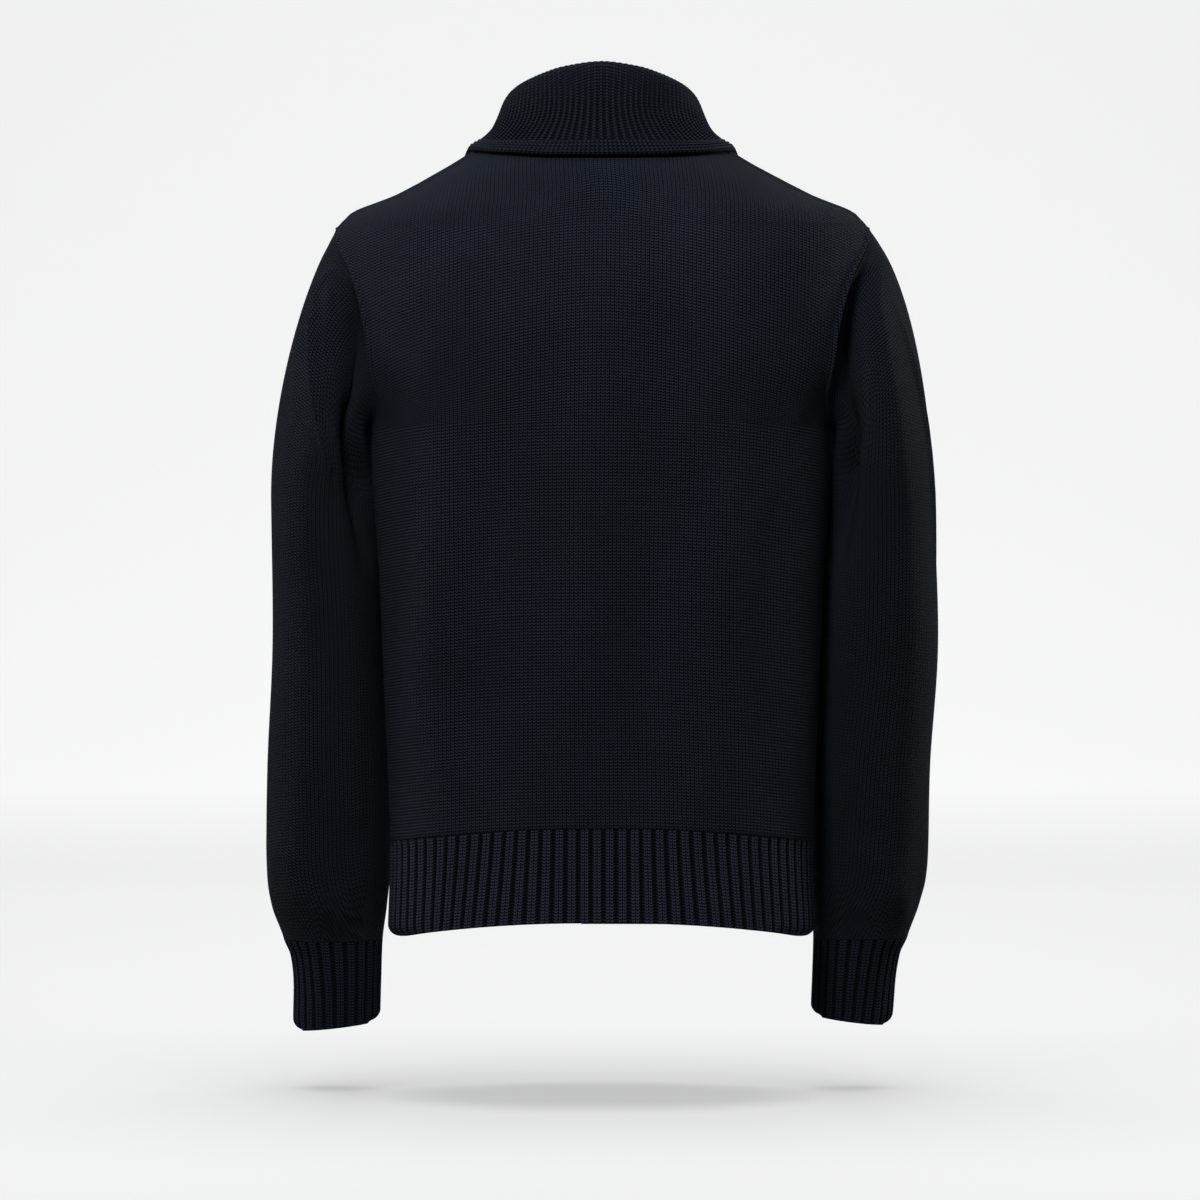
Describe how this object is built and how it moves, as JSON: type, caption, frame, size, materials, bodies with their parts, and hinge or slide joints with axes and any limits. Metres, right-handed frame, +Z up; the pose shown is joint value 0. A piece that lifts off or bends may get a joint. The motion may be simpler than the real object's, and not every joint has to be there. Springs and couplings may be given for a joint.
{
  "type": "shawl collar cardigan",
  "caption": "Knitted cardigan with a high folded shawl collar, set-in sleeves, ribbed cuffs and hem, and a buttoned front, filled out as if worn.",
  "frame": {"origin": "middle of the neck hole, 6 mm above the top of the shoulder seams, where the wearer's neck and shoulders hold the garment", "axes": "+Z up, -Y the way the wearer faces, +X the wearer's left"},
  "size_m": [0.5705, 0.2588, 0.8105],
  "materials": {
    "knit": "matt plain knit",
    "rib": "matt ribbed knit",
    "button": "satin"
  },
  "bodies": {
    "root": {"back": "knit", "front_left": "knit", "front_right": "knit", "sleeve_left": "knit", "sleeve_right": "knit", "cuff_left": "rib", "cuff_right": "rib", "hem_rib": "rib", "collar": "rib", "band_left": "rib", "band_right": "rib", "button_1": "button", "button_2": "button", "button_3": "button", "button_4": "button", "button_5": "button"}
  },
  "joints": []
}
